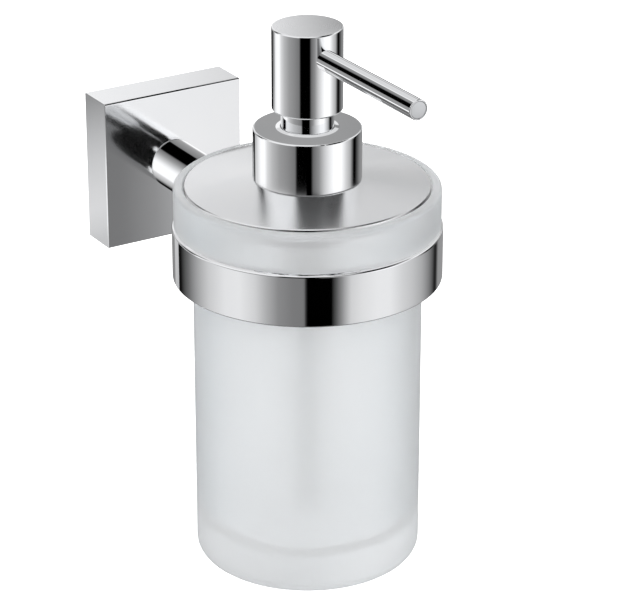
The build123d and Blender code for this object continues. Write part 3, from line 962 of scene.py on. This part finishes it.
def stack_bands(nodes, links, place, layers):
    """Stack rings of bands: each layer takes over from the one below it between two heights."""
    turn = nodes.new("ShaderNodeMapping")
    turn.vector_type = "VECTOR"
    turn.inputs["Rotation"].default_value = (0, 0, math.pi / 2 - CAMERA_AZIMUTH)
    links.new(place, turn.inputs["Vector"])
    around = nodes.new("ShaderNodeTexGradient")
    around.gradient_type = "RADIAL"
    links.new(turn.outputs["Vector"], around.inputs["Vector"])
    height = nodes.new("ShaderNodeSeparateXYZ")
    links.new(turn.outputs["Vector"], height.inputs["Vector"])
    colour = None
    for bands, low, high in layers:
        ring_colour = shade_ramp(nodes, links, around.outputs["Fac"], bands)
        if colour is None:
            colour = ring_colour
            continue
        mix = nodes.new("ShaderNodeMix")
        mix.data_type = "RGBA"
        links.new(spread(nodes, links, height.outputs["Z"], 0, 1, start=low, end=high), mix.inputs["Factor"])
        links.new(colour, mix.inputs["A"])
        links.new(ring_colour, mix.inputs["B"])
        colour = mix.outputs["Result"]
    return colour


print("bands:", len(HEAD_BANDS), "stops for the pump,", len(RING_BANDS), "for the ring")

# %% The room above: the world, which mirrors see as bands and everything else as plain white
ROOM_WHITE = 1.16


def sine(degrees):
    return math.sin(math.radians(degrees))


def make_room():
    world = bpy.data.worlds.new("room")
    world.use_nodes = True
    nodes, links = world.node_tree.nodes, world.node_tree.links
    place = nodes.new("ShaderNodeTexCoord")
    layers = [
        (GROUND_BANDS, 0, 0),
        (LOW_BANDS, sine(-38), sine(-35)),
        (SHELF_BANDS, sine(4), sine(6)),
        (HIGH_BANDS, sine(16), sine(17.5)),
        (CEILING_BANDS, sine(21.8), sine(23.2)),
        (CORNER_BANDS, sine(43), sine(46)),
        (ROOF_BANDS, sine(66), sine(70)),
    ]
    bands = stack_bands(nodes, links, place.outputs["Generated"], layers)
    ray = nodes.new("ShaderNodeLightPath")
    choice = nodes.new("ShaderNodeMix")
    choice.data_type = "RGBA"
    choice.inputs["A"].default_value = (ROOM_WHITE, ROOM_WHITE, ROOM_WHITE, 1)
    links.new(ray.outputs["Is Glossy Ray"], choice.inputs["Factor"])
    links.new(bands, choice.inputs["B"])
    links.new(choice.outputs["Result"], nodes["Background"].inputs["Color"])
    bpy.context.scene.world = world


make_room()
bpy.context.scene.view_settings.view_transform = "Standard"
print("room made")

# %% The tent itself: a sheet of cloth in a ring round the object
TENT_RADIUS = 0.70
TENT_TOP = -0.01
TENT_FOOT = -0.44
RING_REACH = -0.2555  # what the ring mirrors lies below this height, and what the pump mirrors above it
RING_BLEND = 0.002
SPOUT_REACH = -0.15
SPOUT_BLEND = 0.01
STUDIO = []  # the names of the cards, which are not part of the object


def only_in_mirrors(piece):
    """Let a card show in reflections and nowhere else."""
    piece.visible_camera = False
    piece.visible_diffuse = False
    piece.visible_transmission = False
    piece.visible_shadow = False
    piece.visible_volume_scatter = False


def make_card(name, bm, paint, reach=None):
    """A lit card for the studio. The paint function returns a colour. Only mirrors within reach see it."""
    mesh = bpy.data.meshes.new(name)
    bm.to_mesh(mesh)
    bm.free()
    material = bpy.data.materials.new(name)
    material.use_nodes = True
    nodes, links = material.node_tree.nodes, material.node_tree.links
    nodes.clear()
    glow = nodes.new("ShaderNodeEmission")
    output = nodes.new("ShaderNodeOutputMaterial")
    links.new(paint(nodes, links), glow.inputs["Color"])
    seen = glow.outputs[0]
    if reach:
        ray = nodes.new("ShaderNodeLightPath")
        within = nodes.new("ShaderNodeMath")
        within.operation = "COMPARE"
        within.inputs[1].default_value = (reach[0] + reach[1]) / 2
        within.inputs[2].default_value = (reach[1] - reach[0]) / 2
        choice = nodes.new("ShaderNodeMixShader")
        links.new(ray.outputs["Ray Length"], within.inputs[0])
        links.new(within.outputs["Value"], choice.inputs[0])
        links.new(nodes.new("ShaderNodeBsdfTransparent").outputs[0], choice.inputs[1])
        links.new(seen, choice.inputs[2])
        seen = choice.outputs[0]
    links.new(seen, output.inputs["Surface"])
    mesh.materials.append(material)
    card = bpy.data.objects.new(name, mesh)
    bpy.context.scene.collection.objects.link(card)
    only_in_mirrors(card)
    STUDIO.append(card.name)
    return card


def paint_tent(nodes, links):
    place = nodes.new("ShaderNodeTexCoord")
    layers = [
        (RING_BANDS, 0, 0),
        (HEAD_BANDS, RING_REACH - RING_BLEND, RING_REACH + RING_BLEND),
        (LOW_BANDS, SPOUT_REACH - SPOUT_BLEND, SPOUT_REACH + SPOUT_BLEND),
    ]
    return stack_bands(nodes, links, place.outputs["Object"], layers)


sheet = bmesh.new()
bmesh.ops.create_cone(
    sheet, cap_ends=False, segments=180, radius1=TENT_RADIUS, radius2=TENT_RADIUS, depth=TENT_TOP - TENT_FOOT,
    matrix=Matrix.Translation((0, 0, (TENT_TOP + TENT_FOOT) / 2)),
)
tent = make_card("tent", sheet, paint_tent)
tent.location = PUMP
print("tent radius", TENT_RADIUS)

# %% [markdown]
# ## Small cards round the rosette
#
# The rosette and the arm look past the tent's bands, into places the pump never mirrors. Small cards close
# by give them shades of their own. Two grey ones shade the rosette's left side and its top, and one behind
# the pump lets the top of the head fade from light to dark. A fan round the arm's foot draws the bands
# along the arm. The last two stand between ring and rosette: a dark one for the lower left half of the
# rosette's front, and a light one for the rest.

# %% Cards behind and beside the rosette
CARD_DEPTH = 0.030  # how far behind the wall's face the cards stand


def upright_card(name, x_range, z_range, y, shades, along, reach=None):
    """A card that faces the room, with shades that run along x or z from 0 to 1."""
    width, height = x_range[1] - x_range[0], z_range[1] - z_range[0]
    sheet = bmesh.new()
    lay_up = Matrix.Rotation(math.pi / 2, 4, "X") @ Matrix.Diagonal((width, height, 1, 1))
    bmesh.ops.create_grid(sheet, x_segments=1, y_segments=1, size=0.5, matrix=lay_up)

    def paint(nodes, links):
        place = nodes.new("ShaderNodeTexCoord")
        split = nodes.new("ShaderNodeSeparateXYZ")
        links.new(place.outputs["Object"], split.inputs["Vector"])
        half = (width if along == "X" else height) / 2
        part = spread(nodes, links, split.outputs[along], 0, 1, start=-half, end=half)
        return shade_ramp(nodes, links, part, [((at - 0.5) * 360, shade) for at, shade in shades])

    card = make_card(name, sheet, paint, reach)
    card.location = (sum(x_range) / 2, y, sum(z_range) / 2)
    return card


SIDE_SHADES = [
    (0.0, 0.70), (0.26, 0.76), (0.30, 0.80), (0.37, 0.835), (0.44, 0.82), (0.55, 0.77), (0.62, 0.72),
    (0.69, 0.65), (0.76, 0.56), (1.0, 0.50),
]
upright_card("side_card", (-0.049, -0.026), (-0.062, 0.030), CARD_DEPTH, SIDE_SHADES, "Z")
TOP_SHADES = [(0.0, 0.94), (0.5, 0.90), (1.0, 0.78)]
upright_card("top_card", (-0.020, 0.060), (0.026, 0.052), CARD_DEPTH, TOP_SHADES, "X", reach=(0, 0.075))
HEAD_SHADES = [(0.0, 0.93), (0.2, 0.91), (0.8, 0.56), (1.0, 0.54)]
HEAD_CARD_GAP = 0.034  # from the pump's axis to the card
behind_head = PUMP.y + HEAD_CARD_GAP
upright_card("head_card", (-0.002, 0.044), (0.064, 0.096), behind_head, HEAD_SHADES, "X", reach=(0, 0.0545))
print("cards so far:", *STUDIO)

# %% A fan of bands round the arm
# A ray that meets the bar at one angle leaves it at another, so each band lies along a slanted line from
# the bar's side. The fan has one blade for each of these lines, and its shades run from the bar's top to
# its underside.
ARM_BANDS = [
    (-180, 0.80), (-150, 1.0), (-142, 0.98), (-132, 0.72), (-126, 0.62), (-80, 0.49), (-75, 0.04),
    (-70, 0.02), (-22, 0.02), (-17, 0.44), (0, 0.60), (18, 0.80), (32, 0.95), (40, 1.0), (82, 1.0),
    (92, 0.82), (116, 0.68), (130, 0.40), (140, 0.04), (164, 0.02), (172, 0.3), (180, 0.5),
]
BLADES = 72
FAN_RADIUS = 0.034
FAN_INSET = 0.5 * MM
facing = math.atan2(toward.z, toward.x)
sheet = bmesh.new()
share = sheet.loops.layers.uv.new("share")
edges = []
for blade in range(BLADES + 1):
    side = facing - math.pi / 2 + math.pi * blade / BLADES
    leave = 2 * side - facing
    foot = Vector((math.cos(side), 0, math.sin(side))) * arm.radius
    tip = foot + Vector((math.cos(leave), 0, math.sin(leave))) * FAN_RADIUS
    edges.append((sheet.verts.new(foot), sheet.verts.new(tip)))
for blade, (near, far) in enumerate(zip(edges, edges[1:])):
    face = sheet.faces.new((near[0], far[0], far[1], near[1]))
    for loop, step in zip(face.loops, (0, 1, 1, 0)):
        loop[share].uv = ((blade + step) / BLADES, 0)


def paint_fan(nodes, links):
    place = nodes.new("ShaderNodeTexCoord")
    split = nodes.new("ShaderNodeSeparateXYZ")
    links.new(place.outputs["UV"], split.inputs["Vector"])
    return shade_ramp(nodes, links, split.outputs["X"], ARM_BANDS)


arm_fan = make_card("arm_fan", sheet, paint_fan, reach=(0, 0.0505))
arm_fan.location = (0, rosette_low.y + FAN_INSET, 0)
print("arm bands:", len(ARM_BANDS), "stops on", BLADES, "blades")

# %% A dark card between ring and rosette, with its upper edge behind the arm
CARD_CLEAR = 2.5 * MM  # from the ring's wall to the dark card
shade_card_y = arm_end + CARD_CLEAR
FRONT_SHADES = [(0.0, 0.44), (0.3, 0.46), (0.5, 0.54), (0.8, 0.70), (1.0, 0.85)]
front_card = upright_card("front_card", (-0.014, 0.040), (-0.065, 0.011), shade_card_y, FRONT_SHADES, "X")
LIGHT_SHADES = [(0.0, 0.93), (0.4, 0.925), (1.0, 0.885)]
behind = shade_card_y - 0.5 * MM
upright_card("light_card", (-0.025, 0.062), (-0.045, 0.026), behind, LIGHT_SHADES, "X", reach=(0.042, 0.062))
edge = bmesh.new()
edge.from_mesh(front_card.data)
bmesh.ops.bisect_plane(
    edge, geom=edge.verts[:] + edge.edges[:] + edge.faces[:], plane_co=-front_card.location,
    plane_no=(0.6, 0, 0.8), clear_outer=True,
)
edge.to_mesh(front_card.data)
edge.free()
print("cards:", *STUDIO)

# %% Keep the big neighbours out of the mirrors
# The bands should run clean to the foot of each piece, without the neighbours' mirror images. So most
# pieces are hidden from mirror rays: the chrome shows the studio, the arm, the pump's nut and the spout.
MIRRORED = ("arm_bar", "pump_nut", "spout_tube", "spout_end")
for piece in bpy.context.scene.objects:
    if piece.type == "MESH" and piece.name not in MIRRORED and piece.name not in STUDIO:
        piece.visible_glossy = False
print("seen in mirrors:", *MIRRORED)

# %% The floor
FLOOR_HEIGHT = -0.80
FLOOR_SIZE = 12.0
FLOOR_GLOW = 0.75
floor_bm = bmesh.new()
bmesh.ops.create_grid(
    floor_bm, x_segments=1, y_segments=1, size=FLOOR_SIZE / 2, matrix=Matrix.Translation((0, 0, FLOOR_HEIGHT))
)
floor_mesh = bpy.data.meshes.new("floor")
floor_bm.to_mesh(floor_mesh)
floor_bm.free()
floor_material, _, _, floor_shader = new_material("pale_floor", Base_Color=(0.9, 0.9, 0.9, 1), Roughness=0.9)
floor_shader.inputs["Emission Color"].default_value = (1, 1, 1, 1)
floor_shader.inputs["Emission Strength"].default_value = FLOOR_GLOW
floor_mesh.materials.append(floor_material)
floor_piece = bpy.data.objects.new("floor", floor_mesh)
bpy.context.scene.collection.objects.link(floor_piece)
floor_piece.visible_glossy = False
floor_piece.visible_diffuse = False
